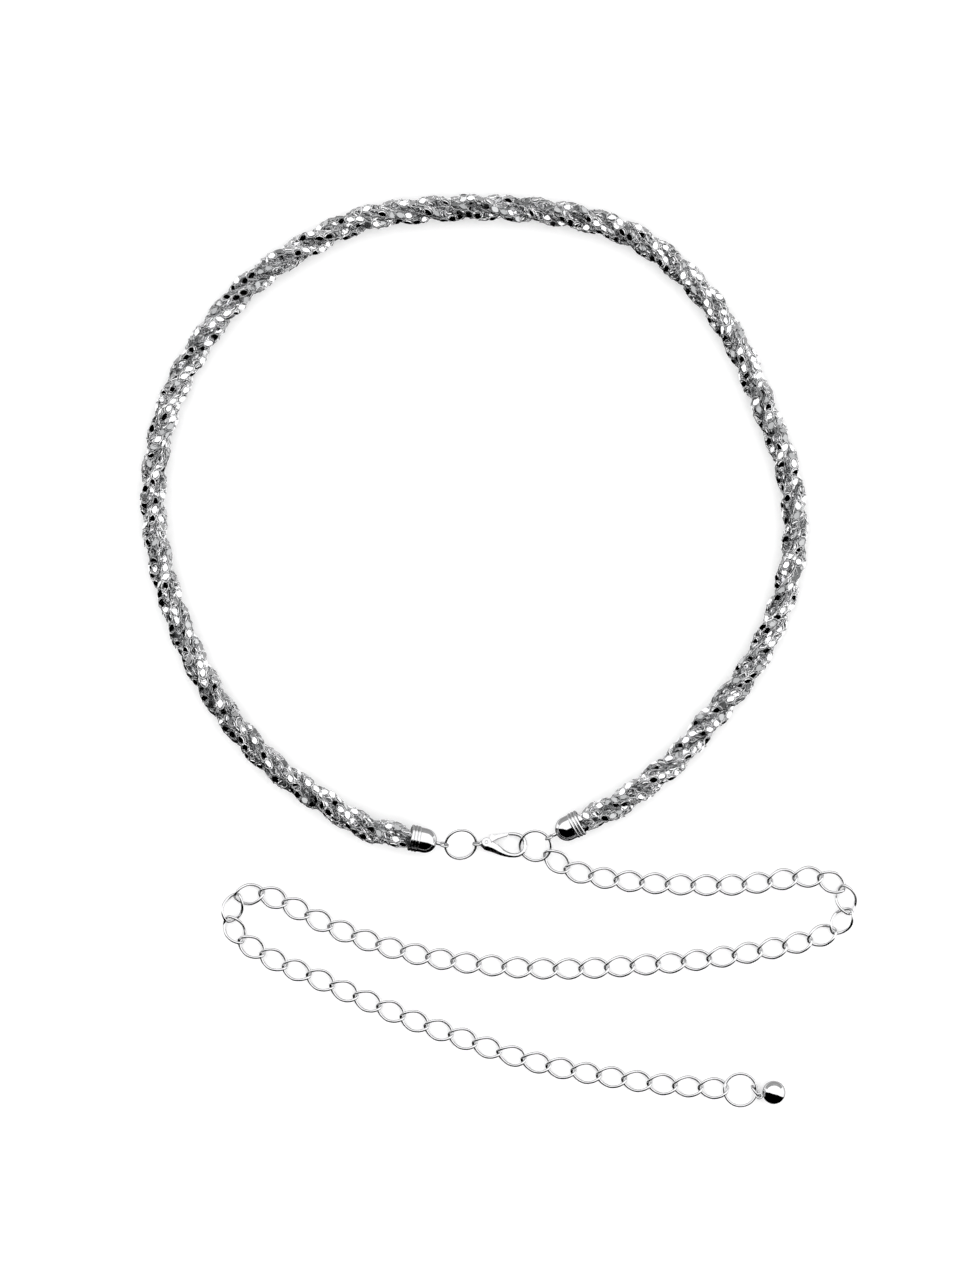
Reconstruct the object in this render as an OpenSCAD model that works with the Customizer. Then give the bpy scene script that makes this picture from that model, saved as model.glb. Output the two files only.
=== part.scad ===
// Waist chain that lies fastened on a flat surface, in millimetres.
// A twisted three-strand rope closes through two end caps, two jump rings and a
// lobster clasp. A long curb extension chain starts at the right-hand jump ring
// and ends in a larger ring, a small drop ring and a polished ball.
// The floor is z = 0, X runs to the wearer's right-hand end and Y to the rope's top.

/* [Rope] */
// Diameter of one strand of the rope
strand_d = 4.2; // [3.4:0.1:4.3]
// Diameter of the whole twisted rope
rope_d = 9.6; // [9.4:0.1:10.8]
// Length of one full turn of the twist
rope_lay = 36; // [28:1:60]

/* [End caps] */
// Outer diameter of an end cap's dome
cap_d = 8.6; // [8.4:0.1:10]
// Wall of an end cap
cap_wall = 0.5; // [0.3:0.05:0.8]
// Length of an end cap from its mouth to the top of its dome
cap_len = 9.6; // [8.5:0.1:14]
// Thickness of each raised ring round the mouth
cap_bead_d = 1.1; // [0.8:0.1:1.2]
// How far the raised rings stand out past the dome
cap_bead_rise = 0.35; // [0.2:0.05:0.5]
// Depth of the rope inside an end cap
cap_grip = 4; // [3:0.5:5]
// Outer diameter of the eye soldered to an end cap
cap_eye_d = 3.6; // [3.4:0.1:4.5]
// Wire of the eye soldered to an end cap
cap_eye_wire = 0.75; // [0.6:0.05:0.85]
// Length of the neck between a dome and its eye
cap_neck = 0.9; // [0.3:0.1:2]

/* [Jump rings] */
// Outer diameter of the two jump rings
ring_d = 11.8; // [10:0.1:14]
// Wire of the jump rings
ring_wire = 0.9; // [0.7:0.05:1]
// Width of the cut where a ring was closed
ring_cut = 0.15; // [0.1:0.05:0.3]

/* [Lobster clasp] */
// Length of the clasp from the middle of its tail eye to the end of its hook
clasp_len = 17.8; // [16:0.1:21]
// Width of the clasp across its claw
clasp_w = 9; // [8.2:0.1:10.5]
// Thickness of the clasp at its hinge
clasp_t = 3; // [2.6:0.1:3.6]
// Outer diameter of the tail eye
tail_eye_d = 3.1; // [3:0.1:3.6]
// Wire of the tail eye
tail_eye_wire = 0.75; // [0.6:0.05:0.8]
// Thickness of the lever between its two cheeks
lever_t = 1.2; // [0.8:0.1:1.6]
// Diameter of the hinge pin
pin_d = 0.9; // [0.6:0.05:1.1]

/* [Extension chain] */
// Outer length of one link
link_len = 11.1; // [9.7:0.1:13]
// Outer width of one link
link_w = 7.7; // [6.6:0.1:9]
// Wire of the links
link_wire = 0.9; // [0.7:0.05:0.95]
// Twist of a link from its middle to either end
link_twist = 45; // [35:1:50]

/* [End ring and ball] */
// Outer diameter of the ring at the end of the chain
end_ring_d = 12.2; // [10.5:0.1:15]
// Outer diameter of the small ring that carries the ball
drop_ring_d = 5.4; // [5.2:0.1:7]
// Wire of the small ring that carries the ball
drop_wire = 0.8; // [0.6:0.05:0.85]
// Diameter of the ball
ball_d = 8; // [6.5:0.1:10]
// Outer diameter of the eye soldered to the ball
ball_eye_d = 2.6; // [2.5:0.1:3.2]
// Wire of the eye soldered to the ball
ball_eye_wire = 0.65; // [0.5:0.05:0.7]

/* [Clearances] */
// Gap between wires that are linked through each other
wire_gap = 0.14; // [0.1:0.02:0.2]
// Play between one link of the chain and the next
link_play = 0.37; // [0.3:0.01:0.4]
// Gap round the rope inside an end cap
seat_gap = 0.15; // [0.1:0.05:0.3]
// Gap on either side of the lever in its slot
lever_gap = 0.1; // [0.05:0.05:0.15]
// Running gap round the hinge pin
pin_gap = 0.05; // [0.02:0.01:0.1]

/* [Hidden] */

$fn = 64;
silver = "silver";

// How far the lowest wires and strands stay above the floor
FLOOR_GAP = 0.06;
// The middle of the clasp's tail eye, as the belt lies
CLASP_AT = [-8.6, -67.6, 1.95];
// The rope's middle line by angle round the loop and distance from its middle
LOOP_AT = [-8.8, 43.8];
LOOP = [[-50, 107.6], [-40, 106.2], [-28, 108], [-15, 110], [-2, 111.4], [10, 110.4], [22, 108.6],
        [34, 110.6], [47, 113.4], [60, 114.8], [72, 113], [85, 111], [98, 111.2], [110, 113.6],
        [122, 114], [134, 115.2], [146, 115], [158, 115], [170, 113.8], [182, 111.8], [194, 109.6],
        [206, 108.8], [218, 109.2], [230, 109.8], [240, 110]];
// The extension chain's middle line, from the jump ring to the end ring
CHAIN = [[19.6, -74.9], [27.5, -77.8], [36, -79.6], [54.3, -81.5], [81.9, -82], [100.3, -79.7],
         [109.4, -78.6], [118, -81.5], [122.2, -88.5], [119, -95.9], [111.6, -100.1], [94.2, -104.3],
         [76, -107.3], [58.4, -109.2], [30.8, -111.1], [12.4, -111.2], [-5.8, -109.9],
         [-23.4, -107.5], [-41.3, -103.2], [-58, -97.1], [-74.1, -88.9], [-82.2, -85], [-90.2, -84.5],
         [-95.2, -90.6], [-93.8, -99], [-86, -104], [-78.5, -109.2], [-71.3, -111.4], [-63.2, -115.2],
         [-47.8, -122], [-31.7, -129], [-14.5, -135.2], [2.4, -141.2], [19.8, -145.8],
         [37.8, -149], [56.3, -151.7], [78.7, -153.3]];

// How the pieces lie: lean and direction of the uphill side, in degrees
RING_L_LEAN = 24;
RING_L_UPHILL = 112;
RING_R_LEAN = 16;
RING_R_UPHILL = 69;
CLASP_ROLL = -12;
CAP_PITCH = 7;
CAP_L_HEADING = 167.5;
CAP_R_HEADING = 26;
CAP_L_EYE_ROLL = -22;
CAP_R_EYE_ROLL = 12;
TAIL_EYE_ROLL = 22;
// The drop ring's plane, the way to the ball and the roll of the ball's eye
DROP_HEADING = 41;
DROP_LEAN = 80;
BALL_HEADING = 13;
BALL_EYE_ROLL = 58;
// Where wires lie against each other: the left-hand ring in the tail eye, the right-hand
// ring in the hook, the drop ring on the end ring and the ball's eye on the drop ring
TAIL_REST = [-0.13, 0, 0.08];
HOOK_REST = [-0.76, -0.63, -0.05];
DROP_REST = [-0.22, -0.38];
BALL_REST = [1.02, -1.48, 1.29];
// Where the right-hand cap and the chain sit on their ring, and the cuts in the rings
CAP_ON_RING = 34;
CHAIN_ON_RING = -36;
// Play where the chain's first link hangs on its ring, in wire gaps
RING_INSET_GAPS = 3;
RING_L_CUT_AT = 250;
RING_R_CUT_AT = 285;
END_RING_CUT_AT = 60;
DROP_CUT_AT = 75;
// Roll of the links about their own length, by link number
ROLLS = [[0, 10], [1, 4], [3, 0], [12, 0], [13, 4], [15, 0], [18, -4], [20, 8], [21, -4], [24, 0],
         [36, -3], [38, 2], [40, 0], [42, -9], [44, 9], [46, 0], [50, 6], [51, 16], [53, 0], [59, 0]];

rope_r = rope_d / 2;
strand_r = strand_d / 2;
twist_r = rope_r - strand_r;
cap_r = cap_d / 2;
cap_in_r = cap_r - cap_wall;
eye_r = (cap_eye_d - cap_eye_wire) / 2;
ring_r = (ring_d - ring_wire) / 2;
end_ring_r = (end_ring_d - ring_wire) / 2;
drop_r = (drop_ring_d - drop_wire) / 2;
tail_r = (tail_eye_d - tail_eye_wire) / 2;
ball_eye_r = (ball_eye_d - ball_eye_wire) / 2;
link_a = (link_len - link_wire) / 2;
link_b = (link_w - link_wire) / 2;

// Facets of the swept solids
STRAND_SIDES = 8;
STRAND_STEP = 4.1;
LINK_STEPS = 12;
LINK_SIDES = 5;
CLAW_SIDES = 10;

// Proportions of the small joins: neck to eye wire, rounding of the clasp's hinge, stem to
// clasp thickness, the hook's wire and the lever's thumb tab as shares of the clasp's width
NECK_TO_WIRE = 1.6;
HINGE_ROUNDING = 0.93;
STEM_SHARE = 0.4;
HOOK_SHARE = 0.16;
TAB_SHARE = 0.085;
TAB_ALONG = 0.33;
TAB_OUT = 0.16;

function unit(v) = v / norm(v);
function turn_z(p, a) = [p.x * cos(a) - p.y * sin(a), p.x * sin(a) + p.y * cos(a), p.z];
function turn_x(p, a) = [p.x, p.y * cos(a) - p.z * sin(a), p.y * sin(a) + p.z * cos(a)];
// A point turned by an angle about an axis through the origin
function turn(p, axis, a) =
    p * cos(a) + cross(axis, p) * sin(a) + axis * (axis * p) * (1 - cos(a));
function heading(azimuth, pitch) =
    [cos(azimuth) * cos(pitch), sin(azimuth) * cos(pitch), sin(pitch)];

// A smooth curve through points, its running length, and the point at a given length
function spline(a, b, c, d, t) =
    0.5 * (2 * b + (c - a) * t + (2 * a - 5 * b + 4 * c - d) * t * t
           + (3 * b - a - 3 * c + d) * t * t * t);
function smooth(pts, steps) =
    let (n = len(pts), e = concat([2 * pts[0] - pts[1]], pts, [2 * pts[n - 1] - pts[n - 2]]))
    concat([for (i = [1 : n - 1], k = [0 : steps - 1])
            spline(e[i - 1], e[i], e[i + 1], e[i + 2], k / steps)], [pts[n - 1]]);
function lengths(path) =
    [for (i = 0, s = 0; i < len(path);
          s = s + (i + 1 < len(path) ? norm(path[i + 1] - path[i]) : 0), i = i + 1) s];
function by_length(path) =
    let (s = lengths(path))
    [for (c = [0 : len(path[0]) - 1]) [for (i = [0 : len(path) - 1]) [s[i], path[i][c]]]];
function at(table, s) = [for (column = table) lookup(s, column)];
function full_length(table) = table[0][len(table[0]) - 1][0];

// Triangles of a tube from rings of points, closed on itself or capped at both ends
function band(i, j, m, first) =
    let (a = first + i * m, b = first + j * m)
    [for (k = [0 : m - 1], t = [0, 1])
     let (n = (k + 1) % m) t == 0 ? [a + k, b + k, b + n] : [a + k, b + n, a + n]];
function tube_faces(rings, m, first = 0, closed = false) =
    concat([for (i = [0 : rings - (closed ? 1 : 2)]) each band(i, (i + 1) % rings, m, first)],
           closed ? [] : [[for (k = [0 : m - 1]) first + k],
                          [for (k = [m - 1 : -1 : 0]) first + (rings - 1) * m + k]]);
// A ring of points about a centre, square to a direction, with a side that points outwards
function wire_ring(centre, direction, outward, rx, ry, m) =
    let (d = unit(direction), u = unit(outward - d * (d * outward)), v = cross(d, u))
    [for (k = [0 : m - 1]) centre + u * (rx * cos(360 * k / m)) + v * (ry * sin(360 * k / m))];

// Clasp: a point of the clasp's own frame in the belt's frame
function clasp_point(p) = CLASP_AT + turn_x(p, CLASP_ROLL);
// Jump rings: a point on a ring's wire
function uphill_axis(uphill) = [sin(uphill), -cos(uphill), 0];
function on_ring(centre, r, lean, uphill, a) =
    centre + turn([r * cos(a), r * sin(a), 0], uphill_axis(uphill), lean);

// The left-hand ring's wire hangs in the tail eye, the right-hand one's in the hook
ring_l_at = CLASP_AT + TAIL_REST - on_ring([0, 0, 0], ring_r, RING_L_LEAN, RING_L_UPHILL, 0);
hook_wire = HOOK_SHARE * clasp_w;
hook_seat = clasp_point([clasp_len - hook_wire - ring_wire / 2, 0, 0]) + HOOK_REST;
ring_r_at = hook_seat - on_ring([0, 0, 0], ring_r, RING_R_LEAN, RING_R_UPHILL, 180);

// Each cap's eye hangs on its ring
cap_slack = eye_r - (cap_eye_wire + ring_wire) / 2 - wire_gap;
cap_l_dir = heading(CAP_L_HEADING, CAP_PITCH);
cap_r_dir = heading(CAP_R_HEADING, CAP_PITCH);
cap_l_at = on_ring(ring_l_at, ring_r, RING_L_LEAN, RING_L_UPHILL, 180) + cap_slack * cap_l_dir;
cap_r_at = on_ring(ring_r_at, ring_r, RING_R_LEAN, RING_R_UPHILL, CAP_ON_RING) + cap_slack * cap_r_dir;
dome_at = cap_eye_d / 2 + cap_neck + cap_r;
mouth_at = cap_eye_d / 2 + cap_neck + cap_len;

// The rope's middle line runs from inside the right-hand cap round to the left-hand one
function rope_lead(from, dir) =
    [from + dir * (mouth_at - cap_grip), from + dir * (mouth_at + cap_grip),
     [from.x, from.y, rope_r + FLOOR_GAP] + [dir.x, dir.y, 0] * (mouth_at + 4 * cap_grip)];
rope_out = rope_lead(cap_r_at, cap_r_dir);
rope_in = rope_lead(cap_l_at, cap_l_dir);
rope_line = by_length(smooth(concat(
    rope_out,
    [for (p = LOOP) [LOOP_AT.x + p[1] * cos(p[0]), LOOP_AT.y + p[1] * sin(p[0]), rope_r + FLOOR_GAP]],
    [rope_in[2], rope_in[1], rope_in[0]]), 6));
rope_len = full_length(rope_line);
// The strands draw in where they enter a cap
cap_share = (cap_in_r - seat_gap) / rope_r;
function rope_share(s) =
    lookup(min(s, rope_len - s), [[cap_grip, cap_share], [cap_grip + rope_d / 2, 1]]);
function rope_frame(s) =
    let (t = unit(at(rope_line, s + 0.5) - at(rope_line, s - 0.5)), n = unit(cross([0, 0, 1], t)))
    [at(rope_line, s), n, cross(t, n)];
function strand_side(s, phase) =
    let (f = rope_frame(s), a = 360 * s / rope_lay + phase) f[1] * cos(a) + f[2] * sin(a);
function strand_point(s, phase) =
    at(rope_line, s) + strand_side(s, phase) * twist_r * rope_share(s);

module rope_strand(number) {
    n = ceil(rope_len / STRAND_STEP);
    phase = 120 * number;
    e = 0.5;
    rings = [for (i = [0 : n])
        let (s = e + (rope_len - 2 * e) * i / n, r = strand_r * rope_share(s))
        wire_ring(strand_point(s, phase), strand_point(s + e, phase) - strand_point(s - e, phase),
                  strand_side(s, phase), r, r, STRAND_SIDES)];
    color(silver)
        polyhedron([for (r = rings) each r], tube_faces(n + 1, STRAND_SIDES), convexity = 10);
}

// A ring of round wire in the XY plane
module wire_loop(r, wire) {
    rotate_extrude()
        translate([r, 0]) circle(d = wire, $fn = 32);
}

// A jump ring, with the cut where it was closed
module cut_loop(r, wire, cut_at) {
    difference() {
        wire_loop(r, wire);
        rotate(cut_at)
            translate([r - wire, -ring_cut / 2, -wire]) cube([2 * wire, ring_cut, 2 * wire]);
    }
}

// An end cap along +Z, with the middle of its eye at the origin
module end_cap(eye_roll) {
    bead_r = cap_bead_d / 2;
    mouth = mouth_at - bead_r;
    rotate([90, 0, eye_roll]) wire_loop(eye_r, cap_eye_wire);
    translate([0, 0, eye_r]) cylinder(d = NECK_TO_WIRE * cap_eye_wire, h = dome_at - eye_r - cap_in_r);
    rotate_extrude() difference() {
        union() {
            intersection() {
                translate([0, dome_at]) circle(r = cap_r);
                translate([0, dome_at - cap_r]) square([cap_r, cap_r]);
            }
            translate([0, dome_at]) square([cap_r, mouth - dome_at]);
            for (k = [0 : 2])
                translate([cap_r + cap_bead_rise - bead_r, mouth - k * cap_bead_d]) circle(r = bead_r);
        }
        translate([0, dome_at]) circle(r = cap_in_r);
        translate([0, dome_at]) square([cap_in_r, cap_len]);
    }
}

module placed_cap(eye_at, azimuth, eye_roll) {
    color(silver)
        translate(eye_at) rotate([0, 90 - CAP_PITCH, azimuth]) end_cap(eye_roll);
}

// A ring leaned over towards its uphill side
module leaned(centre, lean, uphill) {
    translate(centre) rotate(a = lean, v = uphill_axis(uphill)) children();
}

module jump_ring_left() {
    color(silver) leaned(ring_l_at, RING_L_LEAN, RING_L_UPHILL)
        cut_loop(ring_r, ring_wire, RING_L_CUT_AT);
}

module jump_ring_right() {
    color(silver) leaned(ring_r_at, RING_R_LEAN, RING_R_UPHILL)
        cut_loop(ring_r, ring_wire, RING_R_CUT_AT);
}

// The claw's middle line, as shares of the clasp's length and width, with its half width as
// a share of the width and its half thickness as a share of the clasp's thickness
CLAW = [[0.05, 0.02, 0.03, 0.1], [0.07, 0.02, 0.085, 0.24], [0.12, 0.01, 0.15, 0.4],
        [0.19, -0.03, 0.22, 0.5], [0.27, -0.08, 0.225, 0.5], [0.36, -0.16, 0.2, 0.46],
        [0.46, -0.285, 0.16, 0.38], [0.575, -0.395, 0.115, 0.31], [0.695, -0.455, 0.09, 0.26],
        [0.815, -0.44, 0.083, 0.23], [0.92, -0.3, 0.08, 0.22], [0.96, -0.045, 0.08, 0.22],
        [0.925, 0.2, 0.076, 0.21], [0.83, 0.345, 0.07, 0.21], [0.715, 0.39, 0.065, 0.2],
        [0.64, 0.385, 0.058, 0.18], [0.618, 0.38, 0.03, 0.09]];
// The lever's gate: share of its length, then offset and half width as shares of the clasp's width
GATE = [[0, 0, 0.11], [0.25, 0.05, 0.105], [0.5, 0.06, 0.09], [0.75, 0.035, 0.075], [0.94, 0.006, 0.062],
        [1, 0, 0.045]];
pivot = [0.195 * clasp_len, 0.04 * clasp_w];
hub_r = 0.19 * clasp_w;
lever_hub_r = 0.125 * clasp_w;
claw_end = CLAW[len(CLAW) - 1];
claw_nose = [claw_end[0] * clasp_len, claw_end[1] * clasp_w];
gate_angle = atan2(claw_nose.y - pivot.y, claw_nose.x - pivot.x);
gate_len = norm(claw_nose - pivot) - wire_gap;
LEVER_SWING = 24;

module claw() {
    path = smooth([for (c = CLAW) [c[0] * clasp_len, c[1] * clasp_w, c[2] * clasp_w, c[3] * clasp_t]], 2);
    n = len(path);
    rings = [for (i = [0 : n - 1])
        let (p = path[i], q = path[min(i + 1, n - 1)] - path[max(i - 1, 0)])
        wire_ring([p[0], p[1], 0], [q[0], q[1], 0], [q[1], -q[0], 0], p[2], p[3], CLAW_SIDES)];
    polyhedron([for (r = rings) each r], tube_faces(n, CLAW_SIDES), convexity = 6);
}

// The gate's outline, grown by a clearance
function gate_outline(grow) =
    concat([for (g = GATE) [g[0] * gate_len, (g[1] + g[2]) * clasp_w + grow]],
           [for (k = [len(GATE) - 1 : -1 : 0])
            [GATE[k][0] * gate_len, (GATE[k][1] - GATE[k][2]) * clasp_w - grow]]);

// The room that the lever turns in, between the two cheeks
module lever_slot() {
    room = 2 * lever_gap;
    reach = 0.6 * clasp_w;
    thumb = 65;
    translate([0, 0, -lever_t / 2 - lever_gap]) linear_extrude(lever_t + 2 * lever_gap) {
        circle(r = lever_hub_r + room);
        for (k = [0 : 4])
            rotate(gate_angle - LEVER_SWING * k / 4) polygon(gate_outline(room));
        polygon(concat([[0, 0]], [for (k = [0 : 6]) let (a = gate_angle + thumb * k / 6)
                                  [reach * cos(a), reach * sin(a)]]));
    }
}

module in_clasp() {
    translate(CLASP_AT) rotate([CLASP_ROLL, 0, 0]) children();
}

module clasp_body() {
    color(silver) in_clasp() {
        difference() {
            union() {
                claw();
                translate(pivot) intersection() {
                    cylinder(r = hub_r, h = clasp_t, center = true);
                    sphere(r = HINGE_ROUNDING * norm([hub_r, clasp_t / 2]));
                }
                rotate([TAIL_EYE_ROLL - CLASP_ROLL + 90, 0, 0]) wire_loop(tail_r, tail_eye_wire);
                translate([tail_r, 0, 0]) rotate([0, 90, 0])
                    cylinder(d = STEM_SHARE * clasp_t, h = pivot.x - tail_r - lever_hub_r - 3 * lever_gap);
            }
            translate(pivot) lever_slot();
            translate(pivot) cylinder(d = pin_d + 2 * pin_gap, h = 2 * clasp_t, center = true);
        }
    }
}

module clasp_pin() {
    color(silver) in_clasp()
        translate(pivot) cylinder(d = pin_d, h = clasp_t, center = true);
}

module clasp_lever() {
    tab_r = TAB_SHARE * clasp_w;
    color(silver) in_clasp()
        translate([pivot.x, pivot.y, -lever_t / 2]) rotate(gate_angle) difference() {
            union() {
                cylinder(r = lever_hub_r, h = lever_t);
                linear_extrude(lever_t) polygon(gate_outline(0));
                translate([TAB_ALONG * gate_len, TAB_OUT * clasp_w, 0]) cylinder(r = tab_r, h = lever_t);
            }
            translate([0, 0, -lever_t]) cylinder(d = pin_d + 2 * pin_gap, h = 3 * lever_t);
        }
}

// One twisted link: a point of its middle line, and the way out from its middle
function link_point(t, roll) =
    turn_x([link_a * cos(t), link_b * sin(t), 0], roll - link_twist * cos(t));
function link_out(t, roll) =
    turn_x([cos(t) / link_a, sin(t) / link_b, 0], roll - link_twist * cos(t));
function link_rest(roll) =
    max([for (t = [0 : 10 : 350]) -link_point(t, roll).z]) + link_wire / 2 + FLOOR_GAP;
function link_rings(from, to, roll) =
    let (middle = (from + to) / 2, a = atan2(to.y - from.y, to.x - from.x),
         centre = [middle.x, middle.y, link_rest(roll)])
    [for (i = [0 : LINK_STEPS - 1])
     let (t = 360 * i / LINK_STEPS,
          p = link_point(t, roll), q = link_point(t + 1, roll) - link_point(t - 1, roll))
     wire_ring(centre + turn_z(p, a), turn_z(q, a), turn_z(link_out(t, roll), a),
               link_wire / 2, link_wire / 2, LINK_SIDES)];

// The chain's middle line starts a little inside the jump ring's wire
link_overlap = link_wire + link_play;
link_pitch = link_len - link_wire - link_overlap;
chain_seat = on_ring(ring_r_at, ring_r, RING_R_LEAN, RING_R_UPHILL, CHAIN_ON_RING);
chain_aim = unit(CHAIN[0] - [chain_seat.x, chain_seat.y]);
ring_inset = (ring_wire + link_wire) / 2 + RING_INSET_GAPS * wire_gap - link_overlap / 2;
chain_from = [chain_seat.x, chain_seat.y] + chain_aim * (-ring_inset);
chain_line = by_length(smooth(concat([chain_from], CHAIN), 6));
link_count = round(full_length(chain_line) / link_pitch);
link_step = full_length(chain_line) / link_count;

function link_at(i) =
    link_rings(at(chain_line, i * link_step), at(chain_line, (i + 1) * link_step), lookup(i, ROLLS));

module extension_chain() {
    rings = [for (i = [0 : link_count - 1]) each link_at(i)];
    color(silver)
        polyhedron([for (r = rings) each r],
                   [for (i = [0 : link_count - 1])
                    each tube_faces(LINK_STEPS, LINK_SIDES, i * LINK_STEPS * LINK_SIDES, true)],
                   convexity = 10);
}

// The end ring hangs on the last link, level
chain_end = at(chain_line, full_length(chain_line));
chain_dir = unit(chain_end - at(chain_line, full_length(chain_line) - link_step));
end_ring_at = [chain_end.x, chain_end.y, link_rest(0)]
    + [chain_dir.x, chain_dir.y, 0] * (end_ring_r - ring_inset);
// The drop ring stands on the floor across the end ring's wire, and the ball's eye hangs on it
drop_at = [end_ring_at.x + end_ring_r + DROP_REST.x, end_ring_at.y + DROP_REST.y,
           drop_r + drop_wire / 2 + FLOOR_GAP];
ball_eye_at = drop_at + BALL_REST;
ball_r = ball_d / 2;
ball_reach = ball_eye_r + ball_r + ball_eye_wire / 2 - 0.1;

module end_ring() {
    color(silver) translate(end_ring_at) cut_loop(end_ring_r, ring_wire, END_RING_CUT_AT);
}

module drop_ring() {
    color(silver) translate(drop_at) rotate([0, DROP_LEAN, DROP_HEADING])
        cut_loop(drop_r, drop_wire, DROP_CUT_AT);
}

module end_ball() {
    color(silver) translate(ball_eye_at) rotate(BALL_HEADING) {
        translate([ball_reach, 0, ball_r - ball_eye_at.z]) sphere(r = ball_r, $fn = 96);
        rotate([90 + BALL_EYE_ROLL, 0, 0]) wire_loop(ball_eye_r, ball_eye_wire);
    }
}

// The belt lies with the middle of its outline at the origin
rope_x = [for (row = rope_line[0]) row[1]];
rope_y = [for (row = rope_line[1]) row[1]];
chain_x = [for (i = [0 : link_count - 1], ring = link_at(i), p = ring) p.x];
belt_middle = [min(rope_x) - rope_r + max(chain_x),
               max(rope_y) + rope_r + end_ring_at.y - end_ring_d / 2, 0] / 2;

module laid() {
    translate(-belt_middle) children();
}

laid() rope_strand(0);  // rope_strand_1
laid() rope_strand(1);  // rope_strand_2
laid() rope_strand(2);  // rope_strand_3
laid() placed_cap(cap_l_at, CAP_L_HEADING, CAP_L_EYE_ROLL);  // end_cap_left
laid() placed_cap(cap_r_at, CAP_R_HEADING, CAP_R_EYE_ROLL);  // end_cap_right
laid() jump_ring_left();
laid() jump_ring_right();
laid() clasp_body();
laid() clasp_pin();
laid() clasp_lever();
laid() extension_chain();
laid() end_ring();
laid() drop_ring();
laid() end_ball();
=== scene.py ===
"""Looks of the waist chain: strands of small mirror plates, polished links and findings."""

import math

import bmesh
import bpy
import numpy as np
from mathutils import Matrix, Vector


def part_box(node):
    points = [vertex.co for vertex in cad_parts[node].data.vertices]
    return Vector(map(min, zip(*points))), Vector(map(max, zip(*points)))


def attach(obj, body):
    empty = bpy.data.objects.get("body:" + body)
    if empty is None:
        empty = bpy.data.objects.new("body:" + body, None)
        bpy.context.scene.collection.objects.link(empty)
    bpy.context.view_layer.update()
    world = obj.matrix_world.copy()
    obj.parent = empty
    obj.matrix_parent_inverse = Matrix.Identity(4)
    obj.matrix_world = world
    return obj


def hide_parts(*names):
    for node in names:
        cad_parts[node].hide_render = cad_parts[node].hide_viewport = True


MM = 0.001
TURN = 2 * math.pi

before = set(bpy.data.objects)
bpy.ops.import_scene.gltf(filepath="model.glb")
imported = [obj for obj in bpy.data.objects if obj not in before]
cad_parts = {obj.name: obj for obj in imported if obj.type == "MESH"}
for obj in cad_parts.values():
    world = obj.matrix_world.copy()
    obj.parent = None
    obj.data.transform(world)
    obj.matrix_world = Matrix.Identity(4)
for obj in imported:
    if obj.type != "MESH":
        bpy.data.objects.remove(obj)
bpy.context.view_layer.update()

# Camera: straight above the middle of the picture, which shows 448 mm from top to bottom
VIEW_MIDDLE = (-6.5 * MM, 3.8 * MM)
VIEW_DEPTH = 448 * MM
CAMERA_HEIGHT = 1.5
SENSOR = 36

# Mesh strand: rows of plates and wire links round a core painted near black as the shade inside the
# rope
ROW_PITCH = 2.85 * MM
PLATES_ROUND = 4
CORE_RADIUS = 0.97 * MM
CORE_SIDES = 8
STRAND_STEPS = 4

# Plate: an oval with pointed ends, whose flat top is a share of its outline
PLATE_LENGTH = 3.4 * MM
PLATE_WIDTH = 2.15 * MM
PLATE_THICK = 0.25 * MM
PLATE_CORNERS = 12
PLATE_TOP = 0.86
PLATE_DRAWN_OUT = 0.1
PLATE_NARROWS = 0.4

# Plate's height above the strand's middle, and how far its edge may stand up before it lies deeper
PLATE_SEAT = 1.76 * MM
PLATE_RISE = 0.2 * MM

# Link of the mesh: a wire oval bent round the strand
LINK_LENGTH = 4.0 * MM
LINK_WIDTH = 2.95 * MM
LINK_WIRE = 0.26 * MM
LINK_SEAT = 1.8 * MM
LINK_LIFT = 0.14 * MM
LINK_SIDES = 4
LINK_STEPS = 16

# How unevenly the plates lie: along and round the strand, and turned about their three axes
SEED = 11
ALONG_SPREAD = 0.12 * MM
ROUND_SPREAD = 0.07
LEAN_SPREAD = 0.28
LEAN_EACH_WAY = 0.22
ROCK_SPREAD = 0.3
TILT_SPREAD = 0.3

# Longest edge within one cross-section of the CAD strands and links
STRAND_EDGE = 2.2 * MM
CHAIN_EDGE = 0.6 * MM

# Points of a CAD mesh closer than this are one point
SAME_POINT = 0.001 * MM

# Clasp: skin size, and the smoothing that rounds its edges
CAST_SKIN = 0.1 * MM
CAST_SOFTEN = 8
CAST_SOFTEN_SHARE = 0.5

# Extension chain: smooth round wire in place of five flat sides
CHAIN_WIRE = 0.97 * MM
CHAIN_SIDES = 12
CHAIN_STEPS = 5

# Plates from the duller third to the bright rest: colours, and roughness at either end
PLATE_TONES = ((0.0, "#a6a7a8"), (0.3, "#c0c1c2"), (0.36, "#f6f6f7"), (1.0, "#fafafb"))
PLATE_DULL = 0.12
PLATE_BRIGHT = 0.04

# Rub marks: size, strength and depth
PLATE_RUB = (0.5 * MM, 0.08, 0.02 * MM)
POLISH_RUB = (0.4 * MM, 0.05, 0.01 * MM)
NOISE_DETAIL = 3.0

# Polished pieces: patches of slightly uneven gloss, between two shares of the roughness
GLOSS_PATCH = 3 * MM
GLOSS_LEAST = 0.7
GLOSS_MOST = 1.4

# Painted shade at the rims: a grey edge tint darkens the metal's reflection at grazing angles,
# along each outline, where a shadowed floor would be mirrored
WIRE_RIM_SHADE = "#b4b4b4"
FINDINGS_RIM_SHADE = "#787878"
BALL_RIM_SHADE = "#505050"

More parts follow.
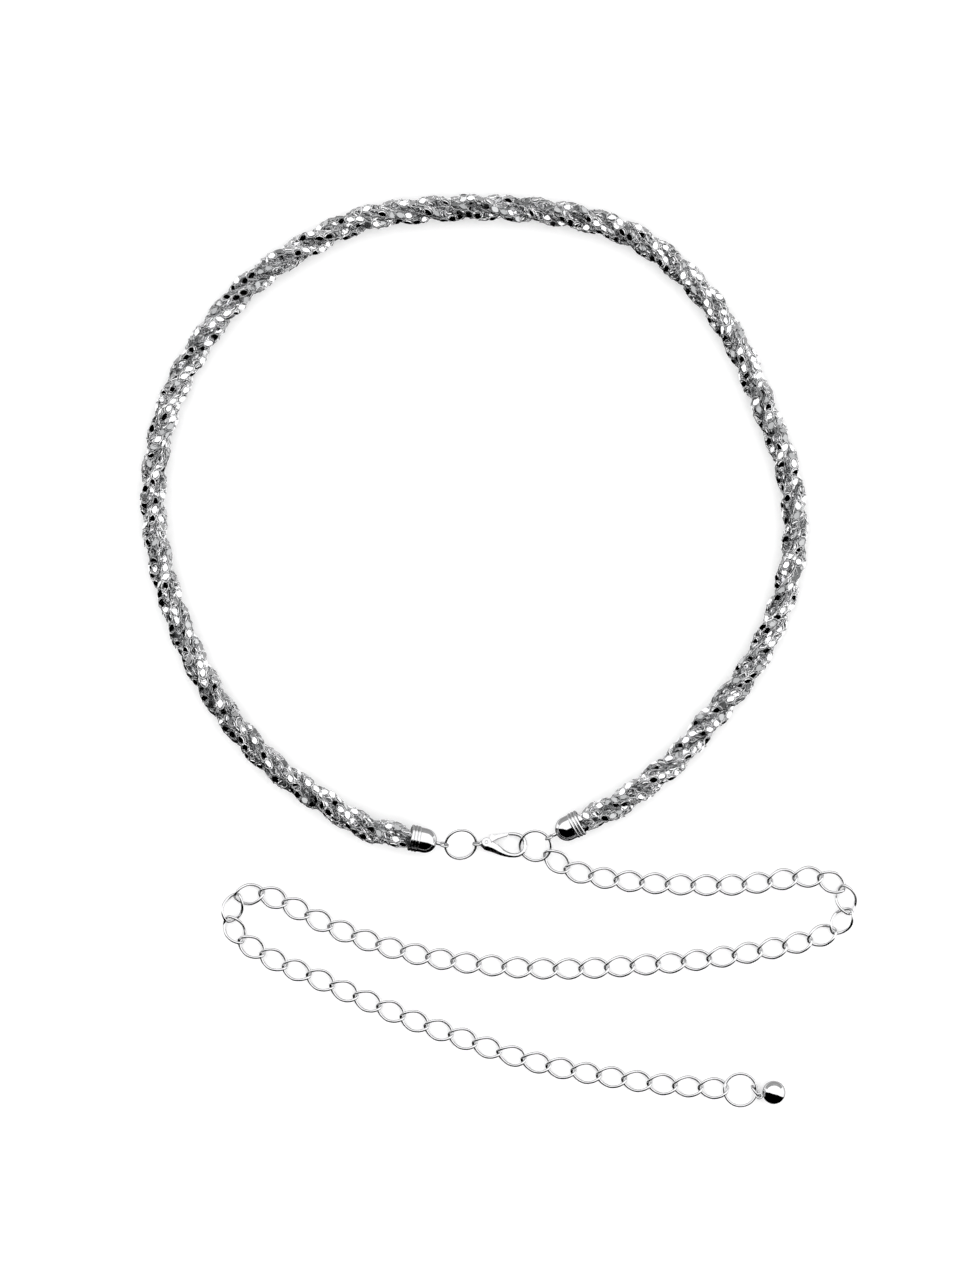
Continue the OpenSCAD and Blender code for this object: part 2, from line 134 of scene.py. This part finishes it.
# Studio, in metres: an even room, a paper floor and two cards that the metal mirrors
ROOM_LIGHT = 1.3
FLOOR_SIZE = 4
FLOOR_PAPER = "#fafafa"
FLOOR_ROUGHNESS = 0.9
FLOOR_GLOW = 0.09
NEAR_CARD_MIDDLE = (-0.13, -0.48, 0)
NEAR_CARD_SIZE = (3.4, 4)
NEAR_CARD_ASLANT = -TURN / 24
FAR_CARD_MIDDLE = (0, 0.6, -0.4)
FAR_CARD_SIZE = (3, 1.1)


def add_camera():
    """A camera that looks straight down, with the picture's top towards +Y."""
    data = bpy.data.cameras.new("camera")
    data.sensor_fit = "VERTICAL"
    data.sensor_height = SENSOR
    data.lens = SENSOR * CAMERA_HEIGHT / VIEW_DEPTH
    camera = bpy.data.objects.new("camera", data)
    camera.location = (*VIEW_MIDDLE, CAMERA_HEIGHT)
    bpy.context.scene.collection.objects.link(camera)
    bpy.context.scene.camera = camera


add_camera()


def linear(hex_colour):
    """An sRGB hex colour as the opaque linear colour that the shaders take."""
    parts = [int(hex_colour[i:i + 2], 16) / 255 for i in (1, 3, 5)]
    return [c / 12.92 if c <= 0.04045 else ((c + 0.055) / 1.055) ** 2.4 for c in parts] + [1.0]


def node(tree, kind, settings=None, **links):
    """Adds a shader node, sets its properties and values, and links its inputs."""
    made = tree.nodes.new(kind)
    for name, value in (settings or {}).items():
        if name in made.inputs:
            made.inputs[name].default_value = value
        else:
            setattr(made, name, value)
    for name, source in links.items():
        tree.links.new(source, made.inputs[name.replace("_", " ")])
    return made


def metal(name, colour, roughness):
    """A bare metal: its material, and the node tree and shader that its surface is added to."""
    material = bpy.data.materials.new(name)
    material.use_nodes = True
    tree = material.node_tree
    shader = tree.nodes["Principled BSDF"]
    shader.inputs["Metallic"].default_value = 1
    shader.inputs["Base Color"].default_value = linear(colour)
    shader.inputs["Roughness"].default_value = roughness
    return material, tree, shader


def add_rub_marks(tree, shader, size, strength, depth):
    """Fine rub marks of a real size, as tumbling and polishing leave them."""
    place = node(tree, "ShaderNodeTexCoord")
    rub = node(tree, "ShaderNodeTexNoise", {"Scale": 1 / size, "Detail": NOISE_DETAIL},
               Vector=place.outputs["Object"])
    bump = node(tree, "ShaderNodeBump", {"Strength": strength, "Distance": depth},
                Height=rub.outputs["Fac"])
    tree.links.new(bump.outputs["Normal"], shader.inputs["Normal"])


def plate_metal():
    # Rhodium-plated brass, stamped flat and tumbled: each plate is a small mirror, some brighter
    material, tree, shader = metal("rhodium_plated_stamped_brass", "#e8e8ea", 0.08)
    tone = node(tree, "ShaderNodeAttribute", {"attribute_name": "tone"})
    colour = node(tree, "ShaderNodeValToRGB", Fac=tone.outputs["Fac"])
    stops = colour.color_ramp.elements
    while len(stops) < len(PLATE_TONES):
        stops.new(0.5)
    for stop, (at, hex_colour) in zip(stops, PLATE_TONES):
        stop.position = at
        stop.color = linear(hex_colour)
    tree.links.new(colour.outputs["Color"], shader.inputs["Base Color"])
    dull = node(tree, "ShaderNodeMapRange", {"To Min": PLATE_DULL, "To Max": PLATE_BRIGHT},
                Value=tone.outputs["Fac"])
    tree.links.new(dull.outputs["Result"], shader.inputs["Roughness"])
    add_rub_marks(tree, shader, *PLATE_RUB)
    return material


def mesh_wire_metal():
    # Rhodium-plated brass wire, drawn and tumbled: bright along its crest
    return metal("rhodium_plated_drawn_wire", "#f0f0f1", 0.1)[0]


def core_metal():
    # Inside of the mesh: painted shade, a near-black dull surface that stands in for the shadow in
    # the gaps between plates
    return metal("painted_shade_mesh_core", "#1a1a1b", 0.6)[0]


def polished_metal(name, colour, roughness, rim):
    # Rhodium plate on polished brass: a mirror with faint rub marks, slightly uneven gloss and
    # painted shade in its reflection at the rims
    material, tree, shader = metal(name, colour, roughness)
    # Painted shade: the grey edge tint darkens the reflection towards each outline
    shader.inputs["Specular Tint"].default_value = linear(rim)
    place = node(tree, "ShaderNodeTexCoord")
    cloud = node(tree, "ShaderNodeTexNoise", {"Scale": 1 / GLOSS_PATCH, "Detail": NOISE_DETAIL},
                 Vector=place.outputs["Object"])
    gloss = node(tree, "ShaderNodeMapRange",
                 {"To Min": GLOSS_LEAST * roughness, "To Max": GLOSS_MOST * roughness},
                 Value=cloud.outputs["Fac"])
    tree.links.new(gloss.outputs["Result"], shader.inputs["Roughness"])
    add_rub_marks(tree, shader, *POLISH_RUB)
    return material


def merged(name):
    """A copy of a CAD node's mesh with its loose triangles joined."""
    bm = bmesh.new()
    bm.from_mesh(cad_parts[name].data)
    bmesh.ops.remove_doubles(bm, verts=bm.verts, dist=SAME_POINT)
    return bm


def sections(name, ring_edge):
    """The cross-sections of each swept solid in a CAD node: (middles, radii), in order along it."""
    bm = merged(name)
    ring_of, rings = {}, []
    for seed in bm.verts:
        if seed.index in ring_of:
            continue
        ring, stack = [], [seed]
        ring_of[seed.index] = len(rings)
        while stack:
            vert = stack.pop()
            ring.append(vert.co.copy())
            for edge in vert.link_edges:
                other = edge.other_vert(vert)
                if other.index not in ring_of and edge.calc_length() < ring_edge:
                    ring_of[other.index] = len(rings)
                    stack.append(other)
        rings.append(ring)
    beside = [set() for _ in rings]
    for edge in bm.edges:
        a, b = (ring_of[v.index] for v in edge.verts)
        if a != b:
            beside[a].add(b)
            beside[b].add(a)
    bm.free()
    middles = [sum(ring, Vector()) / len(ring) for ring in rings]
    radii = [max((p - m).length for p in ring) for ring, m in zip(rings, middles)]
    left, lines = set(range(len(rings))), []
    while left:
        line = [min(left, key=lambda i: (len(beside[i]), i))]
        left.discard(line[0])
        while beside[line[-1]] & left:
            line.append(min(beside[line[-1]] & left))
            left.discard(line[-1])
        lines.append((np.array([middles[i] for i in line]), np.array([radii[i] for i in line])))
    return lines


def smooth_line(points, per_step, closed=False):
    """Points of a smooth curve through the given ones."""
    n = len(points)
    if closed:
        padded = np.vstack([points[-1:], points, points[:2]])
        spans = n
    else:
        before = 2 * points[:1] - points[1:2]
        after = 2 * points[-1:] - points[-2:-1]
        padded = np.vstack([before, points, after])
        spans = n - 1
    t = np.arange(per_step)[:, None] / per_step
    rows = []
    for i in range(spans):
        a, b, c, d = padded[i:i + 4]
        rows.append(0.5 * (2 * b + (c - a) * t + (2 * a - 5 * b + 4 * c - d) * t ** 2
                           + (3 * b - a - 3 * c + d) * t ** 3))
    return np.vstack(rows if closed else rows + [points[-1:]])


def as_mesh(holder):
    """The mesh of an object with its curve or modifiers applied; the object goes."""
    bpy.context.scene.collection.objects.link(holder)
    shaped = holder.evaluated_get(bpy.context.evaluated_depsgraph_get())
    mesh = bpy.data.meshes.new_from_object(shaped)
    bpy.data.objects.remove(holder)
    mesh.shade_smooth()
    return mesh


def wire_mesh(name, lines, wire, closed, sides):
    """Round wire along each line, as one mesh."""
    curve = bpy.data.curves.new(name, "CURVE")
    curve.dimensions = "3D"
    curve.bevel_depth = wire / 2
    curve.bevel_resolution = (sides - 4) // 2
    curve.use_fill_caps = not closed
    for line in lines:
        spline = curve.splines.new("POLY")
        spline.points.add(len(line) - 1)
        spline.points.foreach_set("co", np.hstack([line, np.ones((len(line), 1))]).ravel())
        spline.use_cyclic_u = closed
    mesh = as_mesh(bpy.data.objects.new(name, curve))
    bpy.data.curves.remove(curve)
    return mesh


def add_piece(name, mesh, materials, slot, body, *replaced):
    """A finished piece in its place, with its materials, its body and the CAD nodes it is for."""
    mesh.name = name
    mesh.materials.clear()
    for material in materials:
        mesh.materials.append(material)
    piece = bpy.data.objects.new(name, mesh)
    bpy.context.scene.collection.objects.link(piece)
    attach(piece, body)
    if replaced:
        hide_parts(*replaced)


def plate_form():
    """One plate: a thin oval with pointed ends, a flat mirror on top and a sloping rim."""
    bm = bmesh.new()
    bmesh.ops.create_cone(bm, cap_ends=True, segments=PLATE_CORNERS, radius1=1, radius2=PLATE_TOP,
                          depth=PLATE_THICK)
    for vert in bm.verts:
        # The oval's ends are drawn out a little and its sides are kept full
        reach = abs(vert.co.x)
        vert.co.x *= PLATE_LENGTH / 2 * (1 - PLATE_DRAWN_OUT + PLATE_DRAWN_OUT * reach)
        vert.co.y *= PLATE_WIDTH / 2 * (1 - PLATE_NARROWS * reach ** 2)
    return bm


def link_form():
    """One oval wire link, bent round the strand, with one end lower than the other."""
    bm = bmesh.new()
    upright = Matrix.Translation((1, 0, 0)) @ Matrix.Rotation(TURN / 4, 4, "X")
    bmesh.ops.create_circle(bm, segments=LINK_SIDES, radius=LINK_WIRE / 2, matrix=upright)
    bmesh.ops.spin(bm, geom=bm.verts[:] + bm.edges[:], axis=(0, 0, 1), cent=(0, 0, 0),
                   angle=TURN, steps=LINK_STEPS, use_merge=True)
    for vert in bm.verts:
        x, y, z = vert.co
        angle = math.atan2(y, x)
        out = math.hypot(x, y) - 1
        along = (LINK_LENGTH / 2 + out) * math.cos(angle)
        across = (LINK_WIDTH / 2 + out) * math.sin(angle)
        height = LINK_SEAT + z + LINK_LIFT * math.cos(angle)
        bend = across / LINK_SEAT
        vert.co = (along, height * math.sin(bend), height * math.cos(bend))
    bmesh.ops.recalc_face_normals(bm, faces=bm.faces)
    return bm


def arrays(bm):
    """A form's points, its faces' corners and its faces' sizes."""
    bm.verts.index_update()
    points = np.array([v.co for v in bm.verts])
    corners = np.array([v.index for f in bm.faces for v in f.verts])
    sizes = np.array([len(f.verts) for f in bm.faces])
    bm.free()
    return points, corners, sizes


def joined(name, parts):
    """One mesh from (points, corners, sizes, material number, smooth, tone per point) parts."""
    points = np.vstack([p[0] for p in parts])
    first = np.cumsum([0] + [len(p[0]) for p in parts[:-1]])
    corners = np.concatenate([p[1] + f for p, f in zip(parts, first)])
    sizes = np.concatenate([p[2] for p in parts])
    number = np.concatenate([np.full(len(p[2]), p[3]) for p in parts])
    smooth = np.concatenate([np.full(len(p[2]), p[4]) for p in parts])
    tone = np.concatenate([p[5] for p in parts]).astype(np.float32)
    mesh = bpy.data.meshes.new(name)
    mesh.vertices.add(len(points))
    mesh.vertices.foreach_set("co", points.ravel())
    mesh.loops.add(len(corners))
    mesh.loops.foreach_set("vertex_index", corners)
    mesh.polygons.add(len(sizes))
    mesh.polygons.foreach_set("loop_start", np.concatenate([[0], np.cumsum(sizes)[:-1]]))
    mesh.polygons.foreach_set("material_index", number)
    mesh.polygons.foreach_set("use_smooth", smooth)
    mesh.attributes.new("tone", "FLOAT", "POINT").data.foreach_set("value", tone)
    mesh.update(calc_edges=True)
    mesh.validate()
    return mesh


def copies(form, places):
    """A form repeated at each 4x4 place."""
    points, corners, sizes = form
    moved = np.einsum("nij,pj->npi", places[:, :3, :3], points) + places[:, None, :3, 3]
    shift = np.arange(len(places))[:, None] * len(points)
    return moved.reshape(-1, 3), (corners[None] + shift).ravel(), np.tile(sizes, len(places))


def turned(axis, angles):
    """Rotation matrices about x, y or z for many angles."""
    c, s = np.cos(angles), np.sin(angles)
    made = np.tile(np.eye(4), (len(angles), 1, 1))
    i, j = {"x": (1, 2), "y": (2, 0), "z": (0, 1)}[axis]
    made[:, i, i], made[:, i, j], made[:, j, i], made[:, j, j] = c, -s, s, c
    return made


def lifted(heights):
    """Matrices that move along z by many heights."""
    made = np.tile(np.eye(4), (len(heights), 1, 1))
    made[:, 2, 3] = heights
    return made


def strand_frames(line, outward, at):
    """Frames along a strand, X along it and Z outwards from the rope, at the given lengths."""
    length = np.concatenate([[0], np.cumsum(np.linalg.norm(np.diff(line, axis=0), axis=1))])
    tangent = np.gradient(line, length, axis=0)

    def sample(rows):
        return np.stack([np.interp(at, length, rows[:, k]) for k in range(3)], axis=1)

    x = sample(tangent)
    x /= np.linalg.norm(x, axis=1)[:, None]
    z = sample(outward)
    z -= x * np.sum(x * z, axis=1)[:, None]
    z /= np.linalg.norm(z, axis=1)[:, None]
    made = np.tile(np.eye(4), (len(at), 1, 1))
    made[:, :3, 0], made[:, :3, 1], made[:, :3, 2] = x, np.cross(z, x), z
    made[:, :3, 3] = sample(line)
    return made


def mesh_strand(number, line, middle, share, materials):
    """One strand of the rope: rows of plates and links round a core."""
    rng = np.random.default_rng(SEED + number)
    total = np.linalg.norm(np.diff(line, axis=0), axis=1).sum()
    rows = round((total - ROW_PITCH) / ROW_PITCH)
    row = np.repeat(np.arange(rows), PLATES_ROUND)
    place = np.tile(np.arange(PLATES_ROUND), rows)
    count = len(row)
    along = ROW_PITCH * (0.5 + row) + rng.normal(0, ALONG_SPREAD, count)
    # Every second row is turned by half a plate
    angle = TURN * (place + 0.5 * (row % 2)) / PLATES_ROUND + rng.normal(0, ROUND_SPREAD, count)
    # The strand's own thickness draws the rows in towards its ends
    shrink = np.tile(np.eye(4), (count, 1, 1))
    thickness = np.interp(along / total, np.linspace(0, 1, len(share)), share)
    shrink[:, 1, 1] = shrink[:, 2, 2] = thickness
    links = strand_frames(line, line - middle, along) @ turned("x", angle) @ shrink
    lean = rng.normal(0, LEAN_SPREAD, count) + LEAN_EACH_WAY * np.where(place % 2, 1, -1)
    rock = rng.normal(0, ROCK_SPREAD, count)
    tilt = rng.normal(0, TILT_SPREAD, count)
    # A plate that is turned up far at one edge lies deeper
    rise = 0.5 * np.hypot(PLATE_WIDTH * np.sin(rock), PLATE_LENGTH * np.sin(tilt))
    sunk = np.maximum(0, rise - PLATE_RISE)
    plates = (links @ lifted(PLATE_SEAT - sunk)
              @ turned("z", lean) @ turned("x", rock) @ turned("y", tilt))
    # Plates under the rope rest on the floor
    reach = np.abs(plates[:, 2, :3]) * [PLATE_LENGTH / 2, PLATE_WIDTH / 2, PLATE_THICK / 2]
    lowest = plates[:, 2, 3] - np.hypot(reach[:, 0], reach[:, 1]) - reach[:, 2]
    plates[:, 2, 3] += np.maximum(0, -lowest)
    tone = rng.uniform(0, 1, count)
    plate, link = arrays(plate_form()), arrays(link_form())
    # The core, near black and dull, is painted shade inside the strand
    core = bmesh.new()
    core.from_mesh(wire_mesh("core", [line], 2 * CORE_RADIUS * share.min(), False, CORE_SIDES))
    core = arrays(core)
    parts = [copies(plate, plates) + (0, False, np.repeat(tone, len(plate[0]))),
             copies(link, links) + (1, True, np.repeat(tone, len(link[0]))),
             core + (2, True, np.zeros(len(core[0])))]
    name = f"mesh_strand_{number}"
    add_piece(name, joined(name, parts), materials, "mesh_strand", "belt",
              f"rope_strand_{number}")


def rope():
    """The three strands, along the lines that the CAD strands have."""
    cap = sum(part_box("end_cap_right"), Vector()) / 2
    lines, radii = [], []
    for number in (1, 2, 3):
        (middles, radius), = sections(f"rope_strand_{number}", STRAND_EDGE)
        if (Vector(middles[0]) - cap).length > (Vector(middles[-1]) - cap).length:
            middles, radius = middles[::-1], radius[::-1]
        lines.append(middles)
        radii.append(radius)
    middle = smooth_line(np.mean(lines, axis=0), STRAND_STEPS)
    materials = [plate_metal(), mesh_wire_metal(), core_metal()]
    for number, (line, radius) in enumerate(zip(lines, radii), 1):
        mesh_strand(number, smooth_line(line, STRAND_STEPS), middle, radius / radius.max(),
                    materials)


def chain(material):
    """The extension chain's links in smooth round wire."""
    lines = [smooth_line(middles, CHAIN_STEPS, closed=True)
             for middles, _ in sections("extension_chain", CHAIN_EDGE)]
    mesh = wire_mesh("twisted_links", lines, CHAIN_WIRE, True, CHAIN_SIDES)
    add_piece("twisted_links", mesh, [material], "link_wire", "belt", "extension_chain")


def rounded_cast(name, slot, body, material):
    """A CAD node's form with its edges rounded as casting and tumbling leave them."""
    bm = merged(name)
    rough = bpy.data.meshes.new(name)
    bm.to_mesh(rough)
    bm.free()
    holder = bpy.data.objects.new(name, rough)
    skin = holder.modifiers.new("skin", "REMESH")
    skin.mode = "VOXEL"
    skin.voxel_size = CAST_SKIN
    soften = holder.modifiers.new("tumbled", "SMOOTH")
    soften.factor = CAST_SOFTEN_SHARE
    soften.iterations = CAST_SOFTEN
    add_piece(f"polished_{name}", as_mesh(holder), [material], slot, body, name)


def dress(name, material):
    """A CAD node keeps its form and gets a material."""
    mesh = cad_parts[name].data
    mesh.materials.clear()
    mesh.materials.append(material)


def card(name, middle, size, turn, colour, strength):
    """A card that the metal mirrors; the camera doesn't see it and it lights no floor."""
    bpy.ops.mesh.primitive_plane_add(size=1)
    made = bpy.context.object
    made.name = name
    made.data.transform(Matrix.LocRotScale(Vector(middle), turn.to_quaternion(),
                                           Vector((*size, 1))))
    material = bpy.data.materials.new(name)
    material.use_nodes = True
    tree = material.node_tree
    tree.nodes.remove(tree.nodes["Principled BSDF"])
    glow = node(tree, "ShaderNodeEmission", {"Color": linear(colour), "Strength": strength})
    tree.links.new(glow.outputs["Emission"], tree.nodes["Material Output"].inputs["Surface"])
    made.data.materials.append(material)
    made.visible_camera = made.visible_diffuse = made.visible_shadow = False


def paper_floor():
    """A matt white floor that glows a little, so that only its shadows show."""
    bpy.ops.mesh.primitive_plane_add(size=FLOOR_SIZE)
    floor = bpy.context.object
    floor.name = "floor"
    material = bpy.data.materials.new("white_paper")
    material.use_nodes = True
    shader = material.node_tree.nodes["Principled BSDF"]
    shader.inputs["Base Color"].default_value = linear(FLOOR_PAPER)
    shader.inputs["Roughness"].default_value = FLOOR_ROUGHNESS
    shader.inputs["Emission Color"].default_value = linear("#ffffff")
    shader.inputs["Emission Strength"].default_value = FLOOR_GLOW
    floor.data.materials.append(material)
    floor.visible_glossy = False


def studio():
    """An even bright room, a black card standing aslant nearby and a grey one at the far side."""
    scene = bpy.context.scene
    scene.view_settings.view_transform = "Standard"
    world = bpy.data.worlds.new("room")
    world.use_nodes = True
    room = world.node_tree.nodes["Background"]
    room.inputs["Color"].default_value = linear("#ffffff")
    room.inputs["Strength"].default_value = ROOM_LIGHT
    scene.world = world
    upright = Matrix.Rotation(TURN / 4, 4, "X")
    aslant = Matrix.Rotation(NEAR_CARD_ASLANT, 4, "Z") @ upright
    card("near_card", NEAR_CARD_MIDDLE, NEAR_CARD_SIZE, aslant, "#000000", 0)
    card("far_card", FAR_CARD_MIDDLE, FAR_CARD_SIZE, upright, "#a8a8a8", 1)
    paper_floor()


rope()
chain(polished_metal("rhodium_plated_round_wire", "#e9e9ea", 0.07, WIRE_RIM_SHADE))
findings = polished_metal("rhodium_plated_cast_brass", "#e6e6e7", 0.06, FINDINGS_RIM_SHADE)
for finding in ("end_cap_left", "end_cap_right", "jump_ring_left", "jump_ring_right", "clasp_pin",
                "end_ring", "drop_ring"):
    dress(finding, findings)
rounded_cast("clasp_body", "polished_fittings", "belt", findings)
rounded_cast("clasp_lever", "polished_fittings", "clasp_lever", findings)
dress("end_ball", polished_metal("rhodium_plated_mirror_ball", "#ececed", 0.03, BALL_RIM_SHADE))
studio()
